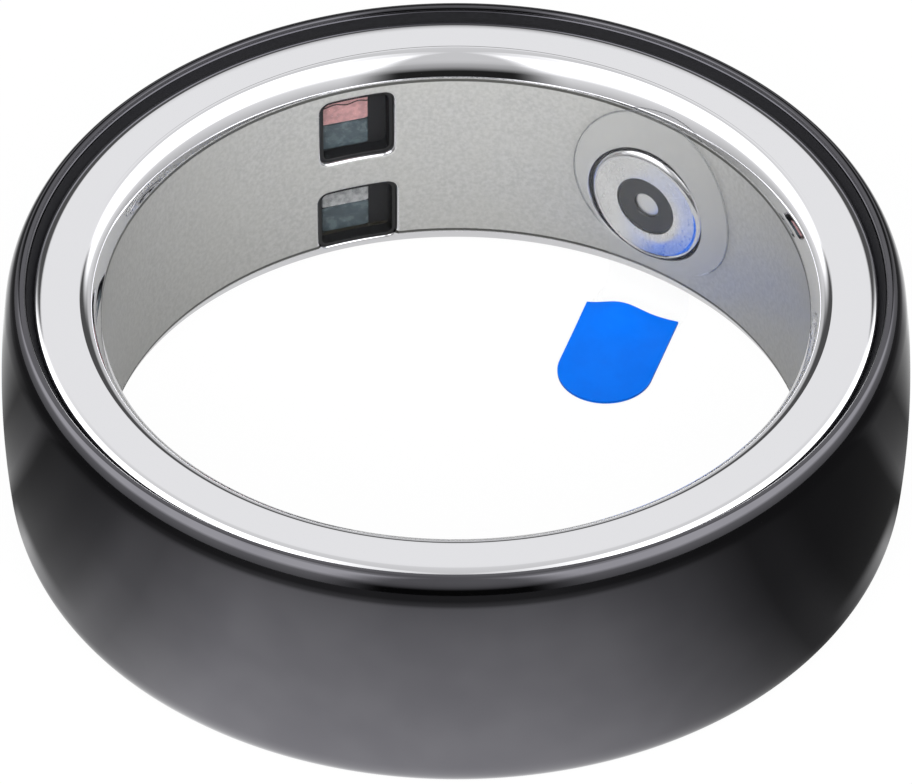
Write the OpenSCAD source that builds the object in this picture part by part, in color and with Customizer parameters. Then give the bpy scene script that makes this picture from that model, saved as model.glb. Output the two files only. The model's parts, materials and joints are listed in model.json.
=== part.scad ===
// Smart ring: a spool-shaped metal liner inside a barrelled metal shell. A curved circuit
// and a curved cell lie in the closed space between them.
//
// +Z is the finger's axis and the ring stands on z = 0. An azimuth is the clockwise angle
// from +Y towards +X, seen from above, and each radial part is drawn facing +Y first.

/* [Ring] */
// Inside diameter that the finger passes through
bore_d = 19.8; // [19:0.1:22]
// Height along the finger
ring_h = 7.5; // [7.4:0.1:8.4]
// Radial space between liner and shell
cavity_t = 1.6; // [1.5:0.02:1.8]

/* [Shell] */
// Thickness of the shell at mid height
shell_t = 0.75; // [0.75:0.05:1.1]
// How far the barrelled wall draws in at the rims
shell_crown = 0.25; // [0.1:0.01:0.26]
// Radial size of the rounded outer edge
shell_edge_r = 0.36; // [0.2:0.01:0.38]
// Height of the rounded outer edge
shell_edge_h = 0.82; // [0.5:0.02:1.6]
// Radial size of the bevel on the shell's inner edge
shell_bevel_w = 0.06; // [0.03:0.01:0.08]
// Height of the bevel on the shell's inner edge
shell_bevel_h = 0.14; // [0.08:0.01:0.2]

/* [Liner] */
// Thickness of the liner's wall
liner_t = 0.5; // [0.45:0.01:0.6]
// Thickness of the liner's end flanges
flange_t = 0.5; // [0.4:0.01:0.55]
// Depth of the flanges' flat faces below the shell's rims
liner_set = 0.24; // [0.15:0.01:0.28]
// Radial size of the rounded lip
lip_r = 0.62; // [0.5:0.01:0.75]
// Height of the rounded lip
lip_h = 0.75; // [0.5:0.01:0.85]
// Width of the bevel on a flange's outer edge
flange_bevel_w = 0.18; // [0.1:0.01:0.22]
// Height of the bevel on a flange's outer edge
flange_bevel_h = 0.16; // [0.1:0.01:0.22]
// Width of the turned line inside that bevel
line_w = 0.06; // [0.04:0.01:0.08]
// Depth of the turned line
line_d = 0.05; // [0.03:0.01:0.06]
// Width of the sealing bead between flange and shell
seal_w = 0.22; // [0.16:0.01:0.26]
// Depth of the bead below the two edges that it joins
seal_set = 0.02; // [0.01:0.01:0.04]

/* [Windows] */
// Azimuth of the two windows
window_az = -16.6; // [-22:0.1:-14]
// Width of a window's opening
window_w = 2.2; // [1.9:0.05:2.4]
// Distance from a rim to the nearer window, with the pair at mid height
window_margin = 1.05; // [1.05:0.01:1.3]
// How much taller the upper window is than the lower one
window_step = 0.2; // [0:0.05:0.4]
// Height of the liner's bar between the windows
window_bridge = 1; // [0.6:0.05:1.2]
// How far the pair of windows sits below mid height
window_drop = 0.2; // [0:0.01:0.2]
// Corner radius of a window's opening
window_corner = 0.24; // [0.2:0.01:0.3]
// Width of the adhesive frame round the glass
frame_w = 0.12; // [0.08:0.01:0.15]
// How far the back of the glass lies inside the liner's wall
glass_set = 0.08; // [0.05:0.01:0.12]

/* [Round contact] */
// Azimuth of the round contact
contact_az = 34.2; // [32:0.1:40]
// How far the contact sits below mid height
contact_drop = 0.3; // [0.1:0.05:0.4]
// Diameter of the contact's face
contact_d = 3.88; // [3.6:0.02:4]
// How far the flat face stands proud of the wall at its middle
contact_proud = 0.14; // [0.05:0.01:0.16]
// Rounding of the contact's edge
contact_edge = 0.15; // [0.1:0.01:0.2]
// Overhang of the foot that holds the contact behind the wall
foot_w = 0.4; // [0.3:0.02:0.45]
// Thickness of the foot
foot_t = 0.2; // [0.15:0.01:0.22]
// Width of the gasket round the contact
gasket_w = 0.1; // [0.06:0.01:0.12]
// Outside diameter of the insulating ring
insulator_d = 1.94; // [1.6:0.02:2.1]
// Diameter of the centre pin
pin_d = 0.82; // [0.6:0.02:1]

/* [Circuit] */
// Depth of the space between the liner and the circuit
sensor_space = 0.58; // [0.57:0.01:0.64]
// Thickness of the flexible circuit
flex_t = 0.12; // [0.1:0.01:0.15]
// Thickness of the plate behind the optical parts
stiffener_t = 0.15; // [0.1:0.01:0.2]
// Wall of the light shield outside the window's opening
shield_wall = 0.3; // [0.2:0.02:0.4]
// Width of an optical part
optic_w = 1.2; // [0.9:0.02:1.25]
// Height of an optical part
optic_h = 0.8; // [0.6:0.02:0.82]
// Thickness of an optical part
optic_t = 0.36; // [0.25:0.01:0.4]
// Width and height of the radio processor
processor_w = 3; // [2.6:0.1:3.2]
// Width and height of the sensor front end
front_end_w = 2.6; // [2.2:0.1:2.8]
// Width and height of the memory chip
memory_w = 2; // [1.6:0.1:2.4]
// Width and height of the motion sensor
motion_w = 2; // [1.6:0.1:2.4]
// Width and height of the charge chip
charge_w = 1.6; // [1.2:0.1:2]
// Thickness of the chips
chip_t = 0.38; // [0.3:0.01:0.4]
// Width of the skin thermistor
thermistor_w = 0.9; // [0.6:0.05:1.2]
// Thickness of the antenna strip
antenna_t = 0.05; // [0.03:0.01:0.08]
// Height of the antenna strip
antenna_h = 0.6; // [0.4:0.05:0.7]
// Distance kept between parts along the circuit
part_gap = 0.7; // [0.5:0.05:0.8]

/* [Battery] */
// Thickness of the adhesive tape under the cell
tape_t = 0.08; // [0.05:0.01:0.1]
// Space left outside the cell for its swelling
cell_gap = 0.08; // [0.05:0.01:0.12]
// Rounding of the cell's long edges
cell_edge = 0.3; // [0.15:0.01:0.4]
// Width of the protection board along the ring
board_w = 2.4; // [2:0.1:3]
// Thickness of the protection board
board_t = 0.3; // [0.2:0.01:0.4]
// Thickness of the battery tabs
tab_strip_t = 0.08; // [0.05:0.01:0.1]
// Height of one battery tab
tab_strip_h = 0.9; // [0.6:0.05:1.2]
// Height of the cured resin beside the electronics
resin_w = 0.26; // [0.15:0.01:0.3]

/* [Shipping film] */
// Diameter of the film's round part
film_d = 5.44; // [5.2:0.02:5.6]
// How far the round part sits above the contact's centre
film_rise = 0.5; // [0.3:0.05:0.55]
// Thickness of the film
film_t = 0.05; // [0.03:0.01:0.05]
// Gap between the film and the contact's face
film_gap = 0.03; // [0.02:0.01:0.03]
// Width of the pull tab
tab_w = 2.75; // [2.5:0.05:3]
// Length of the pull tab with its round end
tab_l = 3.75; // [3.3:0.05:4.2]
// Thickness of the pull tab
tab_t = 0.08; // [0.05:0.01:0.12]
// Distance from the wall to the tab's straight edge
tab_set = 1.1; // [1:0.02:1.3]
// Angle by which the tab turns away from the ring's centre
tab_skew = 13.9; // [5:0.1:18]

/* [Hidden] */
$fn = 64;

// Overrun of every cut past the faces that it goes through
over = 0.5;
// Bond line left between pieces that are glued, soldered or pressed together
bond = 0.01;
// Gap behind the liner's wall for what stands on the circuit
seat_gap = 0.03;
// Points on a rounded edge and on the barrelled wall
edge_steps = 8;
wall_steps = 8;

// Radii from the finger out
bore_r = bore_d / 2;
liner_out = bore_r + liner_t;
shell_in = liner_out + cavity_t;
ring_r = shell_in + shell_t;
flange_r = shell_in - seal_w;
flex_in = liner_out + sensor_space;
flex_out = flex_in + flex_t;

// Heights: mid height, the flanges' inner faces, and what is left for the electronics
mid_z = ring_h / 2;
room_z0 = liner_set + flange_t;
room_z1 = ring_h - room_z0;
parts_z0 = room_z0 + resin_w + bond;
parts_z1 = ring_h - parts_z0;

// Windows: what the margins and the bar leave of the height, and each one's middle
lower_window_h = (ring_h - 2 * window_margin - window_bridge - window_step) / 2;
upper_window_h = lower_window_h + window_step;
windows_z0 = window_margin - window_drop;
windows_z1 = ring_h - window_margin - window_drop;
lower_window_z = windows_z0 + lower_window_h / 2;
upper_window_z = windows_z1 - upper_window_h / 2;
shield_w = window_w + 2 * shield_wall;
frame_set = 0.02;

// Optical parts: the outer one of each pair stands just inside the edge of its glass
optic_gap = 0.05;
optic_edge = 0.04;
optic_pitch = optic_h + 4 * optic_gap;
optic_x = -(window_w / 2 - frame_w - optic_w / 2 - 2 * optic_gap);
optic_inset = frame_w + optic_edge + optic_h / 2;
red_led_z = windows_z1 - optic_inset;
upper_diode_z = red_led_z - optic_pitch;
lower_diode_z = windows_z0 + optic_inset;
green_led_z = lower_diode_z + optic_pitch;

// Round contact, along its own axis from the finger's side out
contact_r = contact_d / 2;
contact_z = mid_z - contact_drop;
contact_face = bore_r - contact_proud;
contact_foot = liner_out + seat_gap;
contact_back = contact_foot + foot_t;
insulator_set = 0.05;
pin_set = 0.02;
pin_tail = 0.05;
lead_r = 0.2;
lead_w = 0.4;

// Parts on the circuit's outer face
crystal_size = [1.6, 0.3, 1];
inductor_size = [1.6, 0.32, 1.2];
capacitor_size = [0.6, 0.3, 0.3];
resistor_size = [0.4, 0.15, 0.6];
small_step_w = 0.9;
small_step_h = 1.2;
thermistor_h = 0.5;
board_margin = 0.3;
tab_overlap = 0.6;

// An azimuth's length along the circuit's inner face, and the azimuth of such a length
circuit_round = 2 * PI * flex_in;
function along(az) = circuit_round * az / 360;
function azimuth(length) = 360 * length / circuit_round;
// Distance of a flat part's back from the axis, so that its sides meet the circuit
function seat_y(width) = sqrt(flex_in * flex_in - width * width / 4) - bond;

// Places along the circuit, from +Y clockwise, each from its neighbour's size and the gap
window_at = along(window_az);
contact_at = along(contact_az);
front_end_at = (window_at + shield_w / 2 + contact_at - contact_r - foot_w) / 2;
processor_at = contact_at + contact_r + foot_w + part_gap + processor_w / 2;
memory_at = processor_at + processor_w / 2 + part_gap + memory_w / 2;
motion_at = window_at - shield_w / 2 - part_gap - motion_w / 2;
charge_at = motion_at - motion_w / 2 - part_gap - charge_w / 2;
thermistor_at = charge_at - charge_w / 2 - part_gap - thermistor_w / 2;
flex_end = memory_at + memory_w / 2 + part_gap;
flex_start = thermistor_at - thermistor_w / 2 - part_gap - tab_overlap;
board_at = flex_start - part_gap / 2 - board_w / 2;
cell_start = flex_end + part_gap;
cell_end = circuit_round + board_at - board_w / 2 - part_gap / 2;

// Shipping film and its tab
film_r = film_d / 2;
film_z = contact_z + film_rise;
film_out = contact_face - film_gap;
film_in = film_out - film_t;
tab_y = bore_r - tab_set;
tab_lap = 0.3;
// The film bends up just outside the tab's outer corner
film_floor = norm([tab_w / 2 * cos(tab_skew), tab_y + tab_w / 2 * sin(tab_skew)]) + bond;
film_bend = film_out - film_floor;

// Outline helpers

// Outside radius of the barrelled wall at the height z
function wall_r(z) = ring_r - shell_crown * pow((z - mid_z) / mid_z, 2);

// One rounded outer edge, from the wall to the rim; side is 1 at the top and -1 at the bottom
function shell_edge(side) = [
    for (i = [0 : edge_steps])
        let (t = 90 * i / edge_steps, z = mid_z + side * (mid_z - shell_edge_h * (1 - sin(t))))
        [wall_r(z) - shell_edge_r * (1 - cos(t)), z]
];

// A list in the opposite order
function reversed(list) = [for (i = [len(list) - 1 : -1 : 0]) list[i]];

// A quarter of an ellipse at one lip of the liner, from the flat face to the bore
function lip(side) = [
    for (i = [0 : edge_steps])
        let (t = 90 * i / edge_steps)
        [bore_r + lip_r * (1 - sin(t)), mid_z + side * (mid_z - liner_set - lip_h * (1 - cos(t)))]
];

// A flange's face from its outer corner in: the bevel and the turned line
function flange_face(side) =
    let (bevel_r = flange_r - flange_bevel_w, z = mid_z + side * (mid_z - liner_set))
    [
        [flange_r, z - side * flange_bevel_h], [bevel_r, z],
        [bevel_r - line_w / 2, z - side * line_d], [bevel_r - line_w, z]
    ];

// Turns a part that faces +Y to an azimuth
module at_az(az) {
    rotate([0, 0, -az]) children();
}

// Stands a flat outline, drawn as seen from the finger, on the +Y side
module radial_prism(y0, y1) {
    translate([0, y1, 0]) rotate([90, 0, 0]) linear_extrude(y1 - y0) children();
}

// A rectangle with round corners, taken in all round by inset
module rounded(w, h, corner, inset = 0) {
    r = corner - inset;
    square([w - 2 * inset - 2 * r, h - 2 * inset], center = true);
    square([w - 2 * inset, h - 2 * inset - 2 * r], center = true);
    for (x = [-1, 1], y = [-1, 1])
        translate([x * (w / 2 - inset - r), y * (h / 2 - inset - r)]) circle(r);
}

// A closed tube round the finger's axis
module tube(r0, r1, z0, z1) {
    rotate_extrude() translate([r0, z0]) square([r1 - r0, z1 - z0]);
}

// A section turned round the axis between two places along the circuit
module swept(start, end) {
    rotate([0, 0, 90 - azimuth(end)]) rotate_extrude(angle = azimuth(end - start)) children();
}

// A piece of a tube between two places along the circuit
module arc_block(r0, r1, z0, z1, start, end) {
    swept(start, end) translate([r0, z0]) square([r1 - r0, z1 - z0]);
}

// A flat part inside the circuit, with its back on the circuit's inner face
module inner_part(size, place, z, x = 0) {
    back = seat_y(size[0] + 2 * abs(x));
    at_az(azimuth(place)) translate([x - size[0] / 2, back - size[1], z - size[2] / 2]) cube(size);
}

// A flat part on the circuit's outer face
module outer_part(size, place, z) {
    at_az(azimuth(place)) translate([-size[0] / 2, flex_out + bond, z - size[2] / 2]) cube(size);
}

// Metal body

module outer_shell() {
    rim_in = shell_in + shell_bevel_w;
    wall_z0 = shell_edge_h;
    wall_z1 = ring_h - shell_edge_h;
    wall = [
        for (i = [1 : wall_steps - 1])
            let (z = wall_z0 + (wall_z1 - wall_z0) * i / wall_steps) [wall_r(z), z]
    ];
    color("#1b1c1f") rotate_extrude() polygon(concat(
        [[shell_in, shell_bevel_h], [rim_in, 0]],
        reversed(shell_edge(-1)), wall, shell_edge(1),
        [[rim_in, ring_h], [shell_in, ring_h - shell_bevel_h]]
    ));
}

module inner_liner() {
    color("#cfd0d4") difference() {
        rotate_extrude() polygon(concat(
            [[liner_out, room_z0], [flange_r, room_z0]], flange_face(-1),
            lip(-1), reversed(lip(1)),
            reversed(flange_face(1)), [[flange_r, room_z1], [liner_out, room_z1]]
        ));
        window_hole(upper_window_z, upper_window_h);
        window_hole(lower_window_z, lower_window_h);
        contact_hole();
    }
}

module window_hole(z, h) {
    at_az(window_az) translate([0, 0, z])
        radial_prism(bore_r - over, liner_out + over) rounded(window_w, h, window_corner);
}

module contact_hole() {
    at_az(contact_az) translate([0, 0, contact_z])
        radial_prism(bore_r - over, liner_out + over) circle(contact_r + gasket_w);
}

// A bead that climbs from the foot of the flange's bevel to the shell's inner edge
module seal(side) {
    bottom = mid_z - room_z0;
    color("#242426") rotate_extrude() polygon([
        for (p = [
            [flange_r + bond, bottom],
            [shell_in - bond, bottom],
            [shell_in - bond, mid_z - shell_bevel_h - seal_set],
            [flange_r + bond, mid_z - liner_set - flange_bevel_h - seal_set]
        ]) [p[0], mid_z + side * p[1]]
    ]);
}

module lower_seal() {
    seal(-1);
}

module upper_seal() {
    seal(1);
}

// Optical windows

// The part of a radial prism that lies between two radii
module wall_insert(z, r0, r1) {
    intersection() {
        tube(r0, r1, 0, ring_h);
        at_az(window_az) translate([0, 0, z]) radial_prism(r0 - over, r1 + over) children();
    }
}

module glass(z, h) {
    color("#15181c") wall_insert(z, bore_r, liner_out - glass_set)
        rounded(window_w, h, window_corner, frame_w);
}

module glass_frame(z, h) {
    color("#0c0c0d") wall_insert(z, bore_r + frame_set, liner_out) difference() {
        rounded(window_w, h, window_corner, bond);
        rounded(window_w, h, window_corner, frame_w - bond);
    }
}

module upper_window() {
    glass(upper_window_z, upper_window_h);
}

module lower_window() {
    glass(lower_window_z, lower_window_h);
}

module upper_window_frame() {
    glass_frame(upper_window_z, upper_window_h);
}

module lower_window_frame() {
    glass_frame(lower_window_z, lower_window_h);
}

module optic(z) {
    inner_part([optic_w, optic_t, optic_h], window_at, z, optic_x);
}

module optic_pocket(z) {
    at_az(window_az) translate([optic_x, 0, z]) radial_prism(liner_out - over, flex_out)
        square([optic_w + 2 * optic_gap, optic_h + 2 * optic_gap], center = true);
}

module light_shield() {
    color("#101113") difference() {
        intersection() {
            tube(liner_out + seat_gap, flex_in - bond, parts_z0, parts_z1);
            at_az(window_az) translate([0, 0, mid_z])
                radial_prism(liner_out - over, flex_in + over)
                    square([shield_w, ring_h], center = true);
        }
        for (z = [red_led_z, upper_diode_z, green_led_z, lower_diode_z]) optic_pocket(z);
    }
}

module red_infrared_led() {
    color("#c8564b") optic(red_led_z);
}

module upper_photodiode() {
    color("#5a6068") optic(upper_diode_z);
}

module green_led() {
    color("#a9b3a6") optic(green_led_z);
}

module lower_photodiode() {
    color("#2f4750") optic(lower_diode_z);
}

// Round contact, turned about its own axis

module contact_turned() {
    at_az(contact_az) translate([0, contact_face, contact_z]) rotate([-90, 0, 0])
        rotate_extrude() children();
}

module contact_ring() {
    foot_z = contact_foot - contact_face;
    back_z = contact_back - contact_face;
    edge = [
        for (i = [0 : edge_steps])
            let (t = 90 * i / edge_steps)
            [contact_r - contact_edge * (1 - sin(t)), contact_edge * (1 - cos(t))]
    ];
    // The foot is cut off where it would reach a flange
    color("#c4c5c9") intersection() {
        contact_turned() polygon(concat(
            [[insulator_d / 2, 0]], edge,
            [[contact_r, foot_z], [contact_r + foot_w, foot_z]],
            [[contact_r + foot_w, back_z], [insulator_d / 2, back_z]]
        ));
        tube(contact_face - over, shell_in, room_z0 + bond, room_z1 - bond);
    }
}

module contact_insulator() {
    h = contact_back - contact_face - insulator_set;
    color("#3c3d40") contact_turned()
        translate([pin_d / 2 + bond, insulator_set])
            square([insulator_d / 2 - pin_d / 2 - 2 * bond, h]);
}

module contact_pin() {
    color("#b9babd") contact_turned()
        translate([0, pin_set])
            square([pin_d / 2, contact_back + pin_tail - contact_face - pin_set]);
}

module contact_gasket() {
    color("#141415") contact_turned()
        translate([contact_r + bond, insulator_set])
            square([gasket_w - 2 * bond, contact_foot - contact_face - insulator_set - bond]);
}

module contact_leads() {
    x = contact_r - lead_w / 2;
    ring_lead_y = seat_y(2 * contact_r);
    color("#c98f3c") at_az(contact_az) translate([0, 0, contact_z]) {
        radial_prism(contact_back + pin_tail + bond, flex_in - bond) circle(lead_r);
        translate([x, 0, 0]) radial_prism(contact_back + bond, ring_lead_y)
            square([lead_w, lead_w], center = true);
    }
}

// Circuit and what it carries

module flex_circuit() {
    color("#8a5a22") arc_block(flex_in, flex_out, parts_z0, parts_z1, flex_start, flex_end);
}

module flex_stiffener() {
    color("#9a9ca0") arc_block(flex_out + bond, flex_out + bond + stiffener_t,
        parts_z0, parts_z1, window_at - shield_w / 2, window_at + shield_w / 2);
}

module sensor_front_end() {
    color("#26282b") inner_part([front_end_w, chip_t, front_end_w], front_end_at, mid_z);
}

module radio_processor() {
    color("#222427") inner_part([processor_w, chip_t, processor_w], processor_at, mid_z);
}

module memory_chip() {
    color("#2b2d30") inner_part([memory_w, chip_t, memory_w], memory_at, mid_z);
}

module motion_sensor() {
    color("#303236") inner_part([motion_w, chip_t, motion_w], motion_at, mid_z);
}

module charge_chip() {
    color("#27292c") inner_part([charge_w, chip_t, charge_w], charge_at, mid_z);
}

module clock_crystal() {
    color("#b9b2a0") outer_part(crystal_size, processor_at, mid_z - small_step_h);
}

module power_inductor() {
    color("#4a4744") outer_part(inductor_size, charge_at, mid_z);
}

// Columns and rows of one small part behind the chip at a place along the circuit
module small_parts(size, place, columns, rows) {
    for (i = columns, j = rows)
        outer_part(size, place + i * small_step_w, mid_z + j * small_step_h);
}

module capacitors() {
    color("#a8875e") small_parts(capacitor_size, front_end_at, [-1, 0, 1], [-1, 0, 1]);
}

module resistors() {
    color("#1f2022") small_parts(resistor_size, motion_at, [-1, 0, 1], [-1, 1]);
}

module antenna() {
    top = parts_z1 - antenna_h / 2;
    color("#c27a3a") arc_block(flex_out + bond, flex_out + bond + antenna_t,
        top - antenna_h, top, processor_at, flex_end);
}

module skin_thermistor() {
    depth = seat_y(thermistor_w) - liner_out - seat_gap;
    color("#d8d4c8") inner_part([thermistor_w, depth, thermistor_h], thermistor_at, mid_z);
}

// Battery and what fixes it

module battery_cell() {
    r0 = liner_out + tape_t + 2 * bond;
    r1 = shell_in - cell_gap;
    color("#b5b8bd") swept(cell_start, cell_end) translate([(r0 + r1) / 2, mid_z])
        rounded(r1 - r0, parts_z1 - parts_z0 - 2 * bond, cell_edge);
}

module battery_tape() {
    color("#e2dfd2") arc_block(liner_out + bond, liner_out + bond + tape_t,
        parts_z0 + cell_edge, parts_z1 - cell_edge, cell_start, cell_end);
}

module battery_board() {
    h = parts_z1 - parts_z0 - 2 * board_margin;
    color("#1f5a3a") at_az(azimuth(board_at))
        translate([-board_w / 2, flex_in + bond, mid_z - h / 2]) cube([board_w, board_t, h]);
}

module battery_tabs() {
    r1 = flex_in - bond;
    color("#c9c9c4") for (side = [-1, 1]) {
        z = mid_z + side * 3 * tab_strip_h / 2;
        arc_block(r1 - tab_strip_t, r1, z - tab_strip_h / 2, z + tab_strip_h / 2,
            cell_end - circuit_round, flex_start + tab_overlap);
    }
}

// The resin sets round the contact's foot where that reaches into it
module potting_resin() {
    color("#3a352c") for (z0 = [room_z0 + bond, room_z1 - resin_w]) difference() {
        tube(liner_out + bond, shell_in - bond, z0, z0 + resin_w - bond);
        at_az(contact_az) translate([0, 0, contact_z]) radial_prism(bore_r, shell_in + over)
            circle(contact_r + foot_w + bond);
    }
}

// Shipping film and its pull tab

// The tab's outline from above, with its straight edge moved back by lap towards the wall
module tab_outline(lap = 0) {
    at_az(contact_az) translate([0, tab_y, 0]) rotate([0, 0, tab_skew]) {
        translate([-tab_w / 2, tab_w / 2 - tab_l]) square([tab_w, tab_l - tab_w / 2 + lap]);
        translate([0, tab_w / 2 - tab_l]) circle(tab_w / 2);
    }
}

// Section of the film: up the wall, round the bend and in over the table
module film_section() {
    translate([film_in, film_bend]) square([film_t, film_z + film_r - film_bend]);
    intersection() {
        translate([film_floor, film_bend]) difference() {
            circle(film_bend);
            circle(film_bend - film_t);
        }
        translate([film_floor, 0]) square([film_bend, film_bend]);
    }
    square([film_floor, film_t]);
}

module protective_film() {
    color("#e8eef2", 0.4) intersection() {
        rotate_extrude() film_section();
        union() {
            at_az(contact_az) translate([0, 0, film_z])
                radial_prism(tab_y - tab_lap, film_out + over) circle(film_r);
            at_az(contact_az) translate([0, 0, film_z / 2])
                radial_prism(tab_y - tab_lap, film_out + over)
                    square([tab_w, film_z], center = true);
            linear_extrude(film_t) tab_outline(tab_lap);
        }
    }
}

module pull_tab() {
    color("#0a78ff") translate([0, 0, film_t]) linear_extrude(tab_t) tab_outline();
}

outer_shell();
inner_liner();
upper_seal();
lower_seal();
upper_window();
lower_window();
upper_window_frame();
lower_window_frame();
light_shield();
red_infrared_led();
green_led();
upper_photodiode();
lower_photodiode();
contact_ring();
contact_insulator();
contact_pin();
contact_gasket();
contact_leads();
flex_circuit();
flex_stiffener();
sensor_front_end();
radio_processor();
memory_chip();
motion_sensor();
charge_chip();
clock_crystal();
power_inductor();
capacitors();
resistors();
antenna();
skin_thermistor();
battery_cell();
battery_board();
battery_tabs();
battery_tape();
potting_resin();
protective_film();
pull_tab();
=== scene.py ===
# %% [markdown]
# Smart ring, dressed for its photograph.
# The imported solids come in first, and everything made below is fitted round them in the
# same frame: metres, the finger's axis along +Z, the table at z = 0. The lesson works in
# millimetres, the way a jeweller would, and turns them into metres in one place.

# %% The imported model
import json
import math
import bmesh
import bpy
import numpy as np
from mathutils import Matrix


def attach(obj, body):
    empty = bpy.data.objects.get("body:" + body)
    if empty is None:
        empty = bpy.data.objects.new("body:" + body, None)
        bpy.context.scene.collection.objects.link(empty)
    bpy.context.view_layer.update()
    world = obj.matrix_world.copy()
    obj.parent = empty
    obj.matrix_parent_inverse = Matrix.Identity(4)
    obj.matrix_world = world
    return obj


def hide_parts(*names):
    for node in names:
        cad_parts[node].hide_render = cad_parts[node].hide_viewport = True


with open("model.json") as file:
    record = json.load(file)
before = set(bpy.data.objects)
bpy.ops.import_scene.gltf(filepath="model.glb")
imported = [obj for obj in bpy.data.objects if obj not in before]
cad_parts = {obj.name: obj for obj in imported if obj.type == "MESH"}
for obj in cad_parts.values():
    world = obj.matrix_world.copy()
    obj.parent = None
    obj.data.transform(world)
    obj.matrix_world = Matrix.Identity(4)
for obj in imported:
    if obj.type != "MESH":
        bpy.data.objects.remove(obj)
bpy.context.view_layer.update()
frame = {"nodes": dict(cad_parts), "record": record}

MM = 0.001
print("solids:", len(frame["nodes"]))

# %% [markdown]
# Every new surface here is a grid of points: rows along one parameter, columns along
# another. It could be modelled by hand with extrusions and loop cuts, but a ring is all
# circles and short curves, so a formula gives exact radii and clean reflections. One
# helper welds the grids of a piece into a closed skin and says whether it is closed.

# %% From grids of points to a closed skin
def skin(name, patches, finishes, body, nodes, crease=32):
    """Joins grids (points, finish number, cells to keep) into one mesh: the faces are each
    grid's neighbouring four points, doubles are welded and the faces are turned outward."""
    points, faces, kinds, start = [], [], [], 0
    for grid, kind, keep in patches:
        rows, cols = grid.shape[:2]
        at = start + np.arange(rows * cols).reshape(rows, cols)
        cells = np.stack([at[:-1, :-1], at[1:, :-1], at[1:, 1:], at[:-1, 1:]], -1)
        cells = cells.reshape(-1, 4) if keep is None else cells[keep]
        points.append(grid.reshape(-1, 3))
        faces.append(cells)
        kinds.append(np.full(len(cells), kind))
        start += rows * cols
    faces = np.concatenate(faces)
    mesh = bpy.data.meshes.new(name)
    mesh.from_pydata((np.concatenate(points) * MM).tolist(), [], faces.tolist())
    mesh.polygons.foreach_set("material_index", np.concatenate(kinds).astype(np.int32))
    work = bmesh.new()
    work.from_mesh(mesh)
    bmesh.ops.remove_doubles(work, verts=work.verts, dist=1e-7)
    bmesh.ops.recalc_face_normals(work, faces=work.faces)
    if work.calc_volume(signed=True) < 0:
        bmesh.ops.reverse_faces(work, faces=work.faces)
    open_edges = sum(edge.is_boundary for edge in work.edges)
    volume = work.calc_volume()
    work.to_mesh(mesh)
    work.free()
    mesh.polygons.foreach_set("use_smooth", np.ones(len(mesh.polygons), bool))
    mesh.set_sharp_from_angle(angle=math.radians(crease))
    for finish in finishes:
        mesh.materials.append(finish)
    piece = bpy.data.objects.new(name, mesh)
    bpy.context.scene.collection.objects.link(piece)
    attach(piece, body)
    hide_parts(*nodes)
    print(f"{name}: {len(mesh.polygons)} faces, {open_edges} open edges, {volume / MM**3:.2f} mm3")
    return piece


def turned(profile, azimuths):
    """Each radius and height of the profile goes round the finger's axis: x is the radius
    times the azimuth's sine, y times its cosine."""
    r, z = np.asarray(profile, float).T
    a = np.radians(azimuths)
    level = np.repeat(z[:, None], len(a), 1)
    return np.stack([r[:, None] * np.sin(a), r[:, None] * np.cos(a), level], -1)


def faced(points, azimuth, height=0.0):
    """Turns points drawn facing +Y to an azimuth, clockwise from above, and lifts them."""
    a = math.radians(azimuth)
    x, y, z = np.moveaxis(points, -1, 0)
    turned_x, turned_y = x * math.cos(a) + y * math.sin(a), y * math.cos(a) - x * math.sin(a)
    return np.stack([turned_x, turned_y, z + height], -1)


def ellipse_arc(start, size, first, last, count):
    """Points start + size * (cosine, sine) of an angle that runs from first to last."""
    t = np.radians(np.linspace(first, last, count))
    return np.stack([start[0] + size[0] * np.cos(t), start[1] + size[1] * np.sin(t)], -1)


# %% [markdown]
# Sizes that several pieces share, in millimetres. Body, wall, lips and seals have the
# solids' own sizes, so a seam lies where the solids meet. The windows, the round contact
# and the film were measured on the photograph a second time, and stand here as measured,
# up to half a millimetre from their solids.

# %% Shared sizes
HEIGHT, MID = 7.5, 3.75
BORE, LINER_OUT, FLANGE, SHELL_IN, RING = 9.9, 10.4, 11.78, 12.0, 12.75
LINER_SET, FLANGE_T, LIP_W, LIP_H = 0.24, 0.5, 0.62, 0.75
CROWN, EDGE_W, EDGE_H = 0.25, 0.36, 0.82
WINDOW_AZ, WINDOW_CORNER, FRAME_W, GLASS_R = -16.6, 0.30, 0.12, 10.0
WINDOWS = {"upper_window": (5.08, 2.18, 2.26), "lower_window": (1.82, 2.32, 2.06)}
CONTACT_AZ, CONTACT_Z, CONTACT_R, CONTACT_FACE = 33.65, 3.32, 1.86, 9.76
HOLE_R, INSULATOR_R, PIN_R = 1.93, 0.94, 0.40
FILM_AZ, FILM_Z, FILM_R = 36.6, 4.17, 2.76
FILM_IN, FILM_OUT, FILM_MID = 9.68, 9.73, 9.7
TAB_AZ, TAB_SKEW, TAB_W, TAB_L, TAB_Y = 35.2, 17.4, 2.75, 4.0, 8.8
# The last of these sizes is the height of the painted shade line at the foot of each lip.
GAP, CREST, SHADE_LINE_H = 0.01, 0.004, 0.10
print("wall, bore to outside:", RING - BORE, "mm; silver face set", LINER_SET, "mm below the rim")

# %% [markdown]
# A finish is a small tree of shader nodes. A single colour looks like a placeholder, so
# each one lets a fine noise move its colour and roughness a little and raise a relief of
# about a micron. The noise reads Object coordinates in metres, which stay with the piece.

# %% Tools for shader trees
def node(tree, kind, inputs=None, **settings):
    made = tree.nodes.new(kind)
    for key, value in settings.items():
        setattr(made, key, value)
    for key, value in (inputs or {}).items():
        if isinstance(value, bpy.types.NodeSocket):
            tree.links.new(value, made.inputs[key])
        else:
            made.inputs[key].default_value = value
    return made


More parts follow.
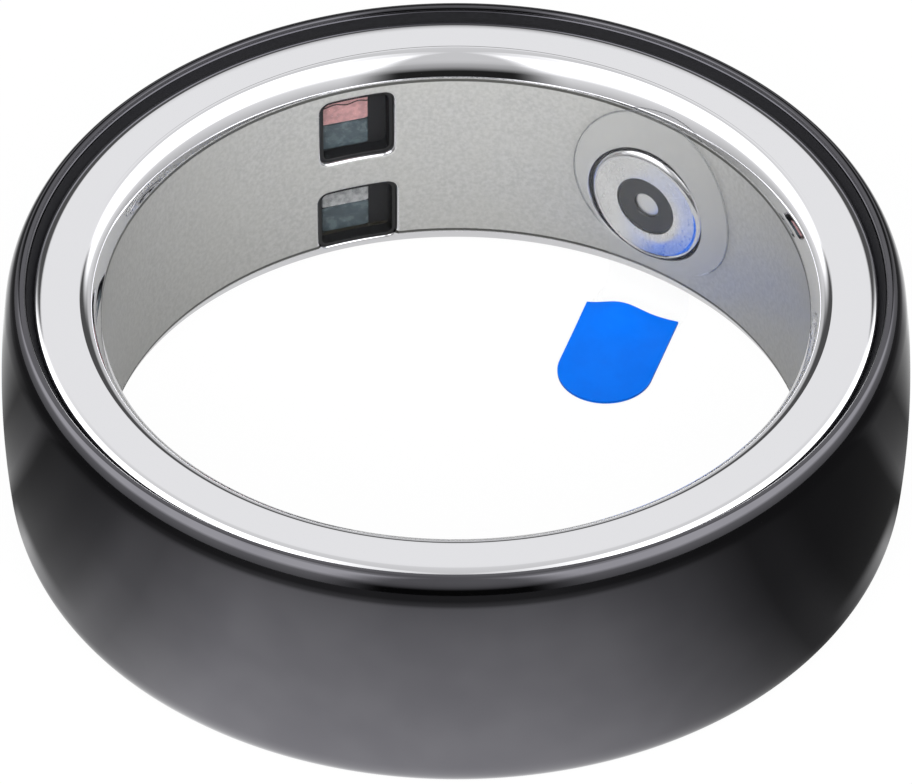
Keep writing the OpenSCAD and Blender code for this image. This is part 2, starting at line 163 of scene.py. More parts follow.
def sums(tree, operation, *values):
    """One Math node of values that are numbers or sockets."""
    return node(tree, "ShaderNodeMath", dict(enumerate(values)), operation=operation).outputs[0]


def spread(tree, value, low, high, to_low=0.0, to_high=1.0, smooth=True):
    """The value's place between low and high, eased, as a number from to_low to to_high."""
    return node(tree, "ShaderNodeMapRange", {"Value": value, "From Min": low, "From Max": high,
                "To Min": to_low, "To Max": to_high},
                interpolation_type="SMOOTHSTEP" if smooth else "LINEAR").outputs[0]


def levels(tree, value, stops):
    """A brightness read off a list of (value, brightness), with straight lines between."""
    low, high = stops[0][0], stops[-1][0]
    peak = max(b for _, b in stops)
    share = spread(tree, value, low, high, smooth=False)
    ramp = node(tree, "ShaderNodeValToRGB", {"Fac": share})
    band = ramp.color_ramp
    while len(band.elements) < len(stops):
        band.elements.new(0.5)
    for element, (at, b) in zip(band.elements, stops):
        element.position = (at - low) / (high - low)
    for element, (at, b) in zip(band.elements, stops):
        element.color = (b / peak, b / peak, b / peak, 1)
    return sums(tree, "MULTIPLY", ramp.outputs[0], peak)


def blend(tree, share, first, second):
    """Colours or sockets mixed by a share from 0, the first, to 1, the second."""
    mix = node(tree, "ShaderNodeMix", data_type="RGBA")
    for socket, value in ((mix.inputs[0], share), (mix.inputs[6], first), (mix.inputs[7], second)):
        if isinstance(value, bpy.types.NodeSocket):
            tree.links.new(value, socket)
        else:
            socket.default_value = value if isinstance(value, float) else (*value, 1)
    return mix.outputs[2]


def empty_finish(name):
    """A new material, its tree, its Principled shader and the Object coordinates."""
    made = bpy.data.materials.new(name)
    made.use_nodes = True
    tree = made.node_tree
    return made, tree, tree.nodes["Principled BSDF"], node(tree, "ShaderNodeTexCoord").outputs["Object"]


def finish(name, colour, rough, metallic=0.0, grain=0.1, speck=0.15, relief=1.0, wander=0.06,
           alpha=1.0, stretch=(1, 1, 1), **plain):
    """Noise of grain millimetres moves the colour by the share speck and the roughness by
    wander, and raises a relief of that many microns."""
    made, tree, shader, place = empty_finish(name)
    place = node(tree, "ShaderNodeMapping", {"Vector": place, "Scale": stretch}).outputs[0]
    noise = node(tree, "ShaderNodeTexNoise", {"Vector": place, "Scale": 1 / (grain * MM), "Detail": 4.0,
                 "Roughness": 0.6}).outputs["Fac"]
    dark, pale = [tuple(min(1.0, c * (1 + side * speck)) for c in colour) for side in (-1, 1)]
    tree.links.new(blend(tree, spread(tree, noise, 0.3, 0.7), dark, pale), shader.inputs["Base Color"])
    roughness = spread(tree, noise, 0.3, 0.7, max(0.02, rough - wander), rough + wander)
    tree.links.new(roughness, shader.inputs["Roughness"])
    bump = node(tree, "ShaderNodeBump", {"Height": noise, "Strength": 0.6, "Distance": relief * 1e-6})
    tree.links.new(bump.outputs[0], shader.inputs["Normal"])
    shader.inputs["Metallic"].default_value = metallic
    shader.inputs["Alpha"].default_value = alpha
    for socket, value in plain.items():
        shader.inputs[socket.replace("_", " ")].default_value = value
    return made


# %% [markdown]
# Shell: titanium with a glossy black hard coating. A coating of this kind is a dark metal,
# not a black plastic: it reflects about an eighth of what stands round it, faintly blue.
# A broad noise moves its colour a little and a fine one its roughness, so no reflection
# has a knife edge.

# %% Black shell finish
def shell_finish():
    made, tree, shader, place = empty_finish("shell_black")
    fine = node(tree, "ShaderNodeTexNoise", {"Vector": place, "Scale": 9000.0, "Detail": 5.0}).outputs["Fac"]
    broad = node(tree, "ShaderNodeTexNoise", {"Vector": place, "Scale": 400.0, "Detail": 2.0}).outputs["Fac"]
    colour = blend(tree, spread(tree, broad, 0.3, 0.7), (0.112, 0.110, 0.122), (0.124, 0.122, 0.134))
    tree.links.new(colour, shader.inputs["Base Color"])
    tree.links.new(spread(tree, fine, 0.3, 0.7, 0.04, 0.09), shader.inputs["Roughness"])
    bump = node(tree, "ShaderNodeBump", {"Height": fine, "Strength": 0.3, "Distance": 4e-7})
    tree.links.new(bump.outputs[0], shader.inputs["Normal"])
    shader.inputs["Metallic"].default_value = 1.0
    return made


# %% [markdown]
# Liner: one piece of metal with two finishes. The faces and the lips are polished, and the
# wall that touches the finger is blasted to a satin. The radius tells them apart, so the
# shader measures each point's distance from the axis instead of splitting the mesh. It
# also paints shade into the colour: the first tenth of a millimetre of each lip, where it
# meets the wall, is darkened to the soft dark line seen there.

# %% Silver liner finish
def liner_finish():
    made, tree, shader, place = empty_finish("liner_silver")
    flat = node(tree, "ShaderNodeVectorMath", {0: place, 1: (1, 1, 0)}, operation="MULTIPLY").outputs[0]
    radius = node(tree, "ShaderNodeVectorMath", {0: flat}, operation="LENGTH").outputs["Value"]
    satin = spread(tree, radius, (BORE + 0.004) * MM, (BORE + 0.03) * MM, 1.0, 0.0)
    mottle = node(tree, "ShaderNodeTexNoise", {"Vector": place, "Scale": 7500.0, "Detail": 5.0,
                  "Roughness": 0.65}).outputs["Fac"]
    cloud = node(tree, "ShaderNodeTexNoise", {"Vector": place, "Scale": 500.0, "Detail": 2.0}).outputs["Fac"]
    tone = blend(tree, spread(tree, mottle, 0.3, 0.7), (0.40, 0.40, 0.390), (0.50, 0.50, 0.488))
    tone = blend(tree, spread(tree, cloud, 0.35, 0.65, 0.0, 0.25), tone, (0.47, 0.47, 0.445))
    level = node(tree, "ShaderNodeSeparateXYZ", {0: place}).outputs[2]
    rise = sums(tree, "ABSOLUTE", sums(tree, "SUBTRACT", level, MID * MM))
    from_wall = sums(tree, "SUBTRACT", rise, (MID - LINER_SET - LIP_H) * MM)
    # Painted shade: a dark band in the base colour over the foot of each lip, where the lip meets the wall.
    painted_shade_line = sums(tree, "MULTIPLY", spread(tree, from_wall, -0.01 * MM, 0.015 * MM),
                 spread(tree, from_wall, (SHADE_LINE_H - 0.02) * MM, (SHADE_LINE_H + 0.02) * MM, 1.0, 0.0))
    metal = blend(tree, satin, (0.86, 0.86, 0.885), tone)
    tree.links.new(blend(tree, painted_shade_line, metal, (0.075, 0.075, 0.07)), shader.inputs["Base Color"])
    rough = sums(tree, "ADD", sums(tree, "MULTIPLY", satin, 0.36), spread(tree, mottle, 0.3, 0.7, 0.02, 0.05))
    tree.links.new(rough, shader.inputs["Roughness"])
    height = sums(tree, "MULTIPLY", mottle, sums(tree, "ADD", sums(tree, "MULTIPLY", satin, 0.9), 0.02))
    bump = node(tree, "ShaderNodeBump", {"Height": height, "Strength": 0.5, "Distance": 6e-6})
    tree.links.new(bump.outputs[0], shader.inputs["Normal"])
    tree.links.new(spread(tree, satin, 0, 1, 1.0, 0.03, False), shader.inputs["Metallic"])
    return made


# %% [markdown]
# Round contact: its face was turned on a lathe, so the marks run round its own axis. Such
# marks stretch a reflection across them, and that gives the bright fans on both sides. The
# shader gets the marks' direction as the cross product of the axis and the place.

# %% Turned contact finish
def contact_finish(name, colour, rough):
    made, tree, shader, place = empty_finish(name)
    a = math.radians(CONTACT_AZ)
    axis = (math.sin(a), math.cos(a), 0.0)
    centre = tuple(v * MM for v in (CONTACT_FACE * axis[0], CONTACT_FACE * axis[1], CONTACT_Z))
    arm = node(tree, "ShaderNodeVectorMath", {0: place, 1: centre}, operation="SUBTRACT").outputs[0]
    round_it = node(tree, "ShaderNodeVectorMath", {0: arm, 1: axis}, operation="CROSS_PRODUCT").outputs[0]
    marks = node(tree, "ShaderNodeVectorMath", {0: round_it}, operation="NORMALIZE").outputs[0]
    tree.links.new(marks, shader.inputs["Tangent"])
    noise = node(tree, "ShaderNodeTexNoise", {"Vector": place, "Scale": 12000.0, "Detail": 3.0}).outputs["Fac"]
    dark, pale = [tuple(c * side for c in colour) for side in (0.92, 1.08)]
    tree.links.new(blend(tree, spread(tree, noise, 0.3, 0.7), dark, pale), shader.inputs["Base Color"])
    tree.links.new(spread(tree, noise, 0.3, 0.7, rough - 0.05, rough + 0.05), shader.inputs["Roughness"])
    shader.inputs["Metallic"].default_value = 1.0
    shader.inputs["Anisotropic"].default_value = 0.85
    return made


# %% [markdown]
# Lamp packages behind the glass have a pale top that the light of the room reaches. The
# pattern is turned to the windows' azimuth with a Mapping node, and a thin dark wavy line,
# a bonding wire, crosses each top. A wire this thin could be a cord of its own, but it is
# a pixel wide in the photograph.

# %% Finishes of the optical parts
def optic_finish(name, pale, dark, wire_z):
    made, tree, shader, place = empty_finish(name)
    to_window = (0, 0, math.radians(WINDOW_AZ))
    turn = node(tree, "ShaderNodeMapping", {"Vector": place, "Rotation": to_window}).outputs[0]
    across, _, up = node(tree, "ShaderNodeSeparateXYZ", {0: turn}).outputs
    blotch = node(tree, "ShaderNodeTexNoise", {"Vector": turn, "Scale": 5200.0, "Detail": 3.0}).outputs["Fac"]
    tone = blend(tree, spread(tree, blotch, 0.35, 0.65), dark, pale)
    wave = sums(tree, "MULTIPLY", sums(tree, "SINE", sums(tree, "MULTIPLY", across, 9000.0)), 0.035 * MM)
    off = sums(tree, "ABSOLUTE", sums(tree, "SUBTRACT", sums(tree, "SUBTRACT", up, wire_z * MM), wave))
    beside_wire = spread(tree, off, 0.012 * MM, 0.035 * MM)
    tree.links.new(blend(tree, beside_wire, (0.04, 0.03, 0.03), tone), shader.inputs["Base Color"])
    shader.inputs["Roughness"].default_value = 0.35
    return made


# %% [markdown]
# Film: clear, so all that shows is its cut edge, where light runs out sideways, and a weak
# gloss. That edge line is painted light and shade: a grey, less clear band in the colour
# and the alpha, painted only above a height, so that it fades out towards the bottom. The
# edge is found by the distance from the round part's middle, measured along the wall it
# lies on: azimuth times radius, and height.

# %% Film finish
def film_finish():
    made, tree, shader, place = empty_finish("film_clear")
    x, y, z = node(tree, "ShaderNodeSeparateXYZ", {0: place}).outputs
    azimuth = sums(tree, "SUBTRACT", sums(tree, "ARCTAN2", x, y), math.radians(FILM_AZ))
    along = sums(tree, "MULTIPLY", azimuth, FILM_MID * MM)
    up = sums(tree, "SUBTRACT", z, FILM_Z * MM)
    reach = sums(tree, "SQRT", sums(tree, "ADD", sums(tree, "POWER", along, 2.0), sums(tree, "POWER", up, 2.0)))
    # Painted light and shade: a grey, less clear band at the cut edge, shown only above a height.
    edge = spread(tree, reach, (FILM_R - 0.055) * MM, (FILM_R - 0.03) * MM)
    upper = spread(tree, up, -2.3 * MM, -1.7 * MM)
    edge = sums(tree, "MULTIPLY", edge, upper)
    ripple = node(tree, "ShaderNodeTexNoise", {"Vector": place, "Scale": 900.0, "Detail": 1.0}).outputs["Fac"]
    bump = node(tree, "ShaderNodeBump", {"Height": ripple, "Strength": 0.4, "Distance": 4e-6})
    tree.links.new(bump.outputs[0], shader.inputs["Normal"])
    tree.links.new(blend(tree, edge, (0.92, 0.94, 0.95), (0.16, 0.17, 0.18)), shader.inputs["Base Color"])
    tree.links.new(spread(tree, edge, 0, 1, 0.03, 0.42, False), shader.inputs["Alpha"])
    shader.inputs["Roughness"].default_value = 0.08
    return made


FINISH = {
    "shell_black": shell_finish(),
    "liner_silver": liner_finish(),
    "seal_black": finish("seal_black", (0.010, 0.010, 0.012), 0.5, grain=0.12, relief=2, Specular_IOR_Level=0.12),
    "window_glass": finish("window_glass", (0.012, 0.014, 0.018), 0.06, grain=0.5, relief=0.1, wander=0.02, alpha=0.12),
    "frame_black": finish("frame_black", (0.010, 0.010, 0.011), 0.5, grain=0.08, relief=2),
    "shield_black": finish("shield_black", (0.020, 0.020, 0.022), 0.6, grain=0.05, relief=3),
    "led_package": optic_finish("led_package", (0.95, 0.52, 0.52), (0.70, 0.40, 0.40), 5.70),
    "green_package": optic_finish("green_package", (0.72, 0.73, 0.74), (0.42, 0.43, 0.44), 2.60),
    "photodiode": finish("photodiode", (0.12, 0.16, 0.18), 0.25, grain=0.3, speck=0.3),
    "contact_metal": contact_finish("contact_metal", (0.86, 0.86, 0.86), 0.32),
    "pin_metal": finish("pin_metal", (0.80, 0.80, 0.79), 0.35, metallic=1.0, grain=0.06, speck=0.1, relief=2),
    "contact_edge": finish("contact_edge", (0.78, 0.78, 0.80), 0.08, metallic=1.0, grain=0.2, speck=0.03, wander=0.02),
    "insulator_grey": finish("insulator_grey", (0.038, 0.038, 0.040), 0.6, grain=0.05, relief=2, Specular_IOR_Level=0.25),
    "board_amber": finish("board_amber", (0.30, 0.14, 0.03), 0.35, grain=0.3),
    "board_green": finish("board_green", (0.02, 0.12, 0.05), 0.3, grain=0.2),
    "chip_black": finish("chip_black", (0.020, 0.020, 0.022), 0.55, grain=0.03, relief=3),
    "component_tan": finish("component_tan", (0.35, 0.24, 0.13), 0.45, grain=0.03),
    "copper": finish("copper", (0.70, 0.38, 0.18), 0.25, metallic=1.0, grain=0.1),
    "steel": finish("steel", (0.60, 0.60, 0.60), 0.3, metallic=1.0, grain=0.05, stretch=(1, 1, 6)),
    "cell_foil": finish("cell_foil", (0.62, 0.63, 0.65), 0.35, metallic=1.0, grain=0.4, relief=6),
    "tape_cream": finish("tape_cream", (0.75, 0.72, 0.62), 0.7, grain=0.1, relief=4),
    "resin_dark": finish("resin_dark", (0.05, 0.045, 0.035), 0.25, grain=0.3),
    "film_clear": film_finish(),
    "tab_blue": finish("tab_blue", (0.0, 0.185, 1.0), 0.35, grain=0.8, speck=0.04, relief=2, Specular_IOR_Level=0.12),
}
print("finishes:", len(FINISH))

# %% [markdown]
# Outer shell: a closed section turned round the finger's axis. The wall is barrelled like
# a cask, and each end rounds over a quarter of an ellipse that starts in line with the
# wall, because a kink there would break the reflection of the table. Inside the rim is a
# narrow bevel.

# %% Outer shell
def wall_radius(z):
    """The outside radius at a height: the full radius less the crown times the square of
    the distance from mid height, as a share of half the height."""
    return RING - CROWN * ((z - MID) / MID) ** 2


def shell_profile():
    t = np.radians(np.linspace(0, 90, 25))
    z_top = HEIGHT - EDGE_H * (1 - np.sin(t))
    top = np.stack([wall_radius(z_top) - EDGE_W * (1 - np.cos(t)), z_top], -1)
    z_wall = np.linspace(EDGE_H, HEIGHT - EDGE_H, 31)[1:-1]
    wall = np.stack([wall_radius(z_wall), z_wall], -1)
    bottom = (top * (1, -1) + (0, HEIGHT))[::-1]
    inner = [[SHELL_IN + 0.06, HEIGHT], [SHELL_IN + 0.03, HEIGHT - 0.03], [SHELL_IN, HEIGHT - 0.14],
             [SHELL_IN, 0.14], [SHELL_IN + 0.03, 0.03], [SHELL_IN + 0.06, 0]]
    return np.concatenate([bottom, wall, top, inner, bottom[:1]])


skin("outer_shell_skin", [(turned(shell_profile(), np.linspace(0, 360, 289)), 0, None)],
     [FINISH["shell_black"]], "ring", ["outer_shell"])

# %% [markdown]
# Inner liner: a spool. Its inner face is a surface over azimuth and height with three
# openings in it, two rounded squares and a circle. A boolean cut would leave long thin
# faces that spoil a polished surface, so each opening gets a block of its own: rings that
# go from the block's rectangle to the opening's outline, round over its edge and run
# through the wall. Block and grid share their border points, so they weld.

# %% Grid lines of the liner
AZ = np.concatenate([np.linspace(-28.0, -5.2, 41)[:-1], np.linspace(-5.2, 15.5, 19)[:-1],
                     np.linspace(15.5, 51.5, 57)[:-1], np.linspace(51.5, 332.0, 201)])
LIP_END = LINER_SET + LIP_H
IN_Z = np.concatenate([np.linspace(0.60, LIP_END, 7)[:-1], np.linspace(LIP_END, 3.45, 37)[:-1],
                       np.linspace(3.45, HEIGHT - LIP_END, 37)])
OUT_Z = np.concatenate([np.linspace(0.74, 0.80, 7)[:-1], np.linspace(0.80, 3.45, 37)[:-1],
                        np.linspace(3.45, 6.76, 37)])
print("liner grid:", len(AZ), "by", len(IN_Z))


def lip_curve():
    """Distance out from the wall and height above the lip's start, from the wall to the
    flat. The slope grows with the length along the curve in three straight steps, and the
    curve is the running sum of its cosine and sine."""
    steps = [0, 0.481, 0.905, 1.049]
    parts = [np.linspace(a, b, n) for a, b, n in zip(steps, steps[1:], (25, 13, 9))]
    length = np.concatenate([parts[0][:-1], parts[1][:-1], parts[2]])
    slope = np.radians(np.interp(length, steps, [12, 59, 72, 90]))
    step, mid = np.diff(length), (slope[1:] + slope[:-1]) / 2
    run, drop = [np.concatenate([[0], np.cumsum(step * f(mid))]) for f in (np.cos, np.sin)]
    return np.stack([LIP_W * (1 - run / run[-1]), (LIP_H + CREST) * (1 - drop / drop[-1])], -1)[::-1]


LIP = lip_curve()


def bore_radius(z):
    """The inner face's radius: the bore, widened by the lip's curve at each end."""
    return BORE + np.interp(LIP_END - np.minimum(z, HEIGHT - z), LIP[:, 1], LIP[:, 0])


def rounded_outline(u, v, half_w, half_h, corner, grow=0.0):
    """Points of a rounded rectangle for places u, v on a unit square's border: the place is
    scaled to the rectangle, pulled to the nearest point of the rectangle less its corners,
    and put the corner's radius away from there."""
    place = np.stack([u * (half_w + grow), v * (half_h + grow)], -1)
    inner = np.array([half_w - corner, half_h - corner])
    core = np.clip(place, -inner, inner)
    way = place - core
    return (core + (corner + grow) * way / np.linalg.norm(way, axis=-1, keepdims=True)).T


def border(rows, cols):
    """Grid indexes of a block's border, once round and back to the start."""
    r0, r1, c0, c1 = *rows, *cols
    r = [r0] * (c1 - c0) + list(range(r0, r1)) + [r1] * (c1 - c0) + list(range(r1, r0, -1)) + [r0]
    c = list(range(c0, c1)) + [c1] * (r1 - r0) + list(range(c1, c0, -1)) + [c0] * (r1 - r0) + [c0]
    return np.array(r), np.array(c)


def on_wall(azimuth, z, radius):
    a = np.radians(azimuth)
    return np.stack([radius * np.sin(a), radius * np.cos(a), z], -1)


def opening(rows, cols, azimuth, height, half_w, half_h, corner, fillet=0.04):
    """Rings from a block's border over the wall to the opening, round its edge, through the
    wall and out to the same block on the outer wall."""
    r, c = border(rows, cols)
    u = 2 * (AZ[c] - AZ[cols[0]]) / (AZ[cols[1]] - AZ[cols[0]]) - 1
    v = 2 * (IN_Z[r] - IN_Z[rows[0]]) / (IN_Z[rows[1]] - IN_Z[rows[0]]) - 1
    x, z = rounded_outline(u, v, half_w, half_h, corner, fillet)
    z = z + height
    inside, outside, through = [], [], []
    for t in (0, 0.25, 0.5, 0.7, 0.85, 0.94, 1):
        level = IN_Z[r] * (1 - t) + z * t
        rim = azimuth + np.degrees(np.arcsin(x / bore_radius(z)))
        inside.append(on_wall(AZ[c] * (1 - t) + rim * t, level, bore_radius(level)))
    for t in np.radians(np.linspace(0, 90, 6)):
        x, z = rounded_outline(u, v, half_w, half_h, corner, fillet * (1 - np.sin(t)))
        y = np.sqrt(bore_radius(z + height) ** 2 - x ** 2) + fillet * (1 - np.cos(t))
        through.append(faced(np.stack([x, y, z], -1), azimuth, height))
    y = np.sqrt(LINER_OUT ** 2 - x ** 2)
    through.append(faced(np.stack([x, y, z], -1), azimuth, height))
    rim = azimuth + np.degrees(np.arcsin(x / LINER_OUT))
    for t in (0, 0.3, 0.65, 1):
        level = (z + height) * (1 - t) + OUT_Z[r] * t
        outside.append(on_wall(rim * (1 - t) + AZ[c] * t, level, LINER_OUT))
    return [(np.stack(rings), 0, None) for rings in (inside, through, outside)]


# %% [markdown]
# Each end of the liner is one profile from the lip over the flat face to the sealing
# bead. A straight chamfer outside would reflect one tone all round. The photograph shows a
# band that goes from bright to dark, so the outer edge is rounded, ever steeper.

# %% Inner liner
def end_profile(start):
    """From a height on the lip to its end, over the flat, the rounded outer edge and down
    the flange, at the top. The edge's drop is the running sum of each step outward times
    the tangent of the slope there."""
    lip = LIP[LIP[:, 1] > start + 0.005] + (BORE, HEIGHT - LIP_END)
    r0, s = BORE + LIP_W, HEIGHT - LINER_SET
    flat = np.array([[r0 + 0.055, s], [r0 + 0.08, s], [10.9, s], [11.3, s], [11.5, s]])
    r = np.concatenate([np.linspace(11.5, 11.755, 12)[1:], [11.768, 11.776, FLANGE]])
    slope = np.radians(np.interp(r, [11.5, 11.755, 11.768, FLANGE], [0, 27, 50, 80]))
    drop = np.cumsum(np.diff(np.concatenate([[11.5], r])) * np.tan(slope))
    edge = np.stack([r, s - drop], -1)
    first = [[BORE + np.interp(start, LIP[:, 1], LIP[:, 0]), HEIGHT - LIP_END + start]]
    return np.concatenate([first, lip, flat, edge, [[FLANGE, 6.76], [LINER_OUT, 6.76]]])


high_end = end_profile(0.0)
low_end = end_profile(LIP_END - IN_Z[0]) * (1, -1) + (0, HEIGHT)

BLOCKS = [((0, 42), (0, 40)), ((42, 78), (0, 40)), ((6, 78), (58, 114))]
keep = np.ones((len(IN_Z) - 1, len(AZ) - 1), bool)
for (r0, r1), (c0, c1) in BLOCKS:
    keep[r0:r1, c0:c1] = False
face_in = on_wall(*np.meshgrid(AZ, IN_Z), bore_radius(IN_Z)[:, None])
face_out = on_wall(*np.meshgrid(AZ, OUT_Z), LINER_OUT)
patches = [(face_in, 0, keep), (face_out, 0, keep)]
patches += [(turned(end, AZ), 0, None) for end in (low_end, high_end)]
for (rows, cols), (z, w, h) in zip(BLOCKS, (WINDOWS["lower_window"], WINDOWS["upper_window"])):
    patches += opening(rows, cols, WINDOW_AZ, z, w / 2, h / 2, WINDOW_CORNER, 0.12)
patches += opening(*BLOCKS[2], CONTACT_AZ, CONTACT_Z, HOLE_R, HOLE_R, HOLE_R)
skin("inner_liner_skin", patches, [FINISH["liner_silver"]], "ring", ["inner_liner"])

# %% [markdown]
# Sealing beads: dark adhesive between the liner's chamfer and the shell. Its surface
# dips a little between the two edges, as an adhesive that wets both of them does.

# %% Sealing beads
def bead_profile():
    """At the bottom: a shallow hanging curve from the shell's edge to the flange's."""
    t = np.linspace(0, 1, 9)
    r = SHELL_IN - GAP + (FLANGE - SHELL_IN + 2 * GAP) * t
    z = 0.16 + (0.42 - 0.16) * t + 0.03 * np.sin(np.pi * t)
    deep = [[FLANGE + GAP, 0.74], [SHELL_IN - GAP, 0.74], [r[0], z[0]]]
    return np.concatenate([np.stack([r, z], -1), deep])


low_bead = bead_profile()
for name, profile in (("lower_seal", low_bead), ("upper_seal", low_bead * (1, -1) + (0, HEIGHT))):
    skin(name + "_skin", [(turned(profile, np.linspace(0, 360, 241)), 0, None)], [FINISH["seal_black"]],
         "ring", [name])

# %% [markdown]
# Windows: clear glass with a polished chamfer, set in a thin black line of adhesive and a
# tenth of a millimetre behind the wall. The outline is the same rounded square as the
# opening's, taken in, and the front follows the bore's curve.

# %% Windows and their frames
def square_loop(count=40):
    """Places on a unit square's border, once round, a little closer at the corners."""
    even = np.linspace(-1, 1, count + 1)
    side = np.sin(even * math.pi / 2)[:-1] * 0.35 + even[:-1] * 0.65
    one = np.ones(count)
    u = np.concatenate([side, one, -side, -one, side[:1]])
    v = np.concatenate([-one, side, one, -side, -one[:1]])
    return u, v


def window_ring(height, half_w, half_h, inset, radius, share=1.0):
    """One ring of a window, its outline taken in and scaled towards the middle by share."""
    u, v = square_loop()
    x, z = rounded_outline(u, v, half_w, half_h, WINDOW_CORNER, -inset) * share
    return faced(np.stack([x, np.sqrt(radius ** 2 - x ** 2), z], -1), WINDOW_AZ, height)


for name, (z, w, h) in WINDOWS.items():
    chamfer, back = 0.09, GLASS_R + 0.28
    size = z, w / 2, h / 2
    rings = [window_ring(*size, FRAME_W + chamfer, GLASS_R + 0.005, s) for s in np.linspace(0, 1, 9)]
    rings += [window_ring(*size, FRAME_W, GLASS_R + 0.05), window_ring(*size, FRAME_W, back)]
    rings += [window_ring(*size, FRAME_W, back, s) for s in (0.66, 0.33, 0)]
    skin(name + "_skin", [(np.stack(rings), 0, None)], [FINISH["window_glass"]], "ring", [name], 20)
    section = ((GAP, 10.03), (0.04, 10.04), (0.08, 10.04), (FRAME_W - GAP, 10.03),
               (FRAME_W - GAP, LINER_OUT), (GAP, LINER_OUT), (GAP, 10.03))
    skin(name + "_frame_skin", [(np.stack([window_ring(*size, i, r) for i, r in section]), 0, None)],
         [FINISH["frame_black"]], "ring", [name + "_frame"])

# %% [markdown]
# Lamps and light sensors: flat packages with slightly rounded corners, close behind the
# glass, a lamp above a sensor in each window. Each is a rounded rectangle shrunk to its
# middle in front and behind, and straight between.

# %% Optical packages
def package(across, height, half_w, half_h, front=10.36, back=10.93, corner=0.05):
    u, v = square_loop(12)
    rings = []
    before = [(0, front), (0.5, front), (0.96, front)]
    behind = [(1, front + 0.03), (1, back), (0.5, back), (0, back)]
    for share, depth in before + behind:
        x, z = rounded_outline(u, v, half_w, half_h, corner) * share
        rings.append(faced(np.stack([x + across, depth + 0 * x, z], -1), WINDOW_AZ, height))
    return np.stack(rings)


for name, look, slot, height in (("red_infrared_led", "led_package", "led_package", 5.46),
                                 ("green_led", "green_package", "led_package", 2.36),
                                 ("upper_photodiode", "photodiode", "photodiode", 4.56),
                                 ("lower_photodiode", "photodiode", "photodiode", 1.46)):
    skin(name + "_skin", [(package(-0.24, height, 0.70, 0.43), 0, None)], [FINISH[look]],
         "ring", [name], 20)

# %% [markdown]
# Round contact: a satin disc with a polished rounded edge, a dark insulating ring and a
# centre pin. All of them are turned about the contact's own axis, which points at the
# finger, so they share one profile helper.

# %% Round contact
def contact_turned(profile, count=121):
    """Each distance from the contact's axis and depth from its face goes round that axis."""
    rho, depth = np.asarray(profile, float).T
    a = np.linspace(0, 2 * math.pi, count)
    across, up = rho[:, None] * np.cos(a), rho[:, None] * np.sin(a)
    into = (CONTACT_FACE + depth)[:, None] + 0 * a
    return faced(np.stack([across, into, up], -1), CONTACT_AZ, CONTACT_Z)


EDGE, DEPTH, FOOT_R = 0.2, 0.87, 2.26
hole = INSULATOR_R + GAP
edge = ellipse_arc((CONTACT_R - EDGE, EDGE), (EDGE, -EDGE), 90, 0, 14)
inner_edge = [[hole, DEPTH], [hole, 0.04], [hole + 0.01, 0.01], [hole + 0.04, 0], [1.3, 0], [1.5, 0]]
face = np.concatenate([inner_edge, edge[:1]])
rim = np.concatenate([edge, [[CONTACT_R, 0.67]]])
foot = [[CONTACT_R, 0.67], [FOOT_R, 0.67], [FOOT_R, DEPTH], [hole, DEPTH]]
skin("contact_ring_skin", [(contact_turned(part), kind, None) for part, kind in ((face, 0), (rim, 1), (foot, 0))],
     [FINISH["contact_metal"], FINISH["contact_edge"]], "ring", ["contact_ring"], 40)
inner = PIN_R + GAP
insulator = [[inner, DEPTH], [inner, 0.06], [inner + 0.01, 0.05], [0.6, 0.05], [INSULATOR_R - 0.02, 0.05],
             [INSULATOR_R, 0.07], [INSULATOR_R, DEPTH], [inner, DEPTH]]
skin("contact_insulator_skin", [(contact_turned(insulator, 81), 0, None)], [FINISH["insulator_grey"]],
     "ring", ["contact_insulator"])
pin = [[0, 0.12], [0.2, 0.12], [PIN_R - 0.04, 0.12], [PIN_R - 0.01, 0.13],
       [PIN_R, 0.15], [PIN_R, 0.92], [0, 0.92]]
skin("contact_pin_skin", [(contact_turned(pin, 61), 0, None)], [FINISH["pin_metal"]],
     "ring", ["contact_pin"])
inner, outer = CONTACT_R + GAP, HOLE_R - GAP
gasket = [[inner, 0.66], [inner, 0.12], [inner + 0.02, 0.11], [outer - 0.02, 0.11],
          [outer, 0.12], [outer, 0.66], [inner, 0.66]]
skin("contact_gasket_skin", [(contact_turned(gasket), 0, None)], [FINISH["seal_black"]],
     "ring", ["contact_gasket"])

# %% [markdown]
# Shipping film: a clear round sheet stuck over the contact, and a strip that runs down the
# wall, bends at its foot and goes under the tab. Both are thin closed plates. The round
# part is rings round its middle, rolled on to the wall. The strip is a path across its
# width, worked out once for each of its two sides.

# %% Film
FILM_BEND, FOOT_LAP, FILM_T = 0.41, 0.3, 0.05


def film_ring(reach, radius):
    """One ring of the round part: arc lengths on the wall become azimuths."""
    turn = np.linspace(0, 2 * math.pi, 145)
    azimuth = FILM_AZ + np.degrees(reach * np.cos(turn) / FILM_MID)
    return on_wall(azimuth, FILM_Z + reach * np.sin(turn), radius)


def on_tab(across, along):
    """Places on the tab, across and along it from its straight edge, on the table."""
    k = math.radians(TAB_SKEW)
    x = across * math.cos(k) + along * math.sin(k)
    y = TAB_Y + across * math.sin(k) - along * math.cos(k)
    return faced(np.stack([x, y, 0 * x], -1), TAB_AZ)


def strip_side(drop):
    """One side of the strip: down the wall, round the bend and on to the tab's edge."""
    across = np.linspace(-TAB_W / 2, TAB_W / 2, 13)
    t = np.radians(np.linspace(0, 90, 9))
    bend = FILM_BEND - drop
    r = np.concatenate([[FILM_OUT - drop] * 3, FILM_OUT - FILM_BEND + bend * np.cos(t)])
    z = np.concatenate([[1.9, 1.2, 0.6], FILM_BEND - bend * np.sin(t)])
    rows = [faced(np.stack([across, np.sqrt(a ** 2 - across ** 2), b + 0 * across], -1), TAB_AZ)
            for a, b in zip(r, z)]
    lap = on_tab(across, FOOT_LAP + 0 * across) + (0, 0, drop)
    rows += [rows[-1] * (1 - s) + lap * s for s in (0.33, 0.66, 1)]
    return np.stack(rows)


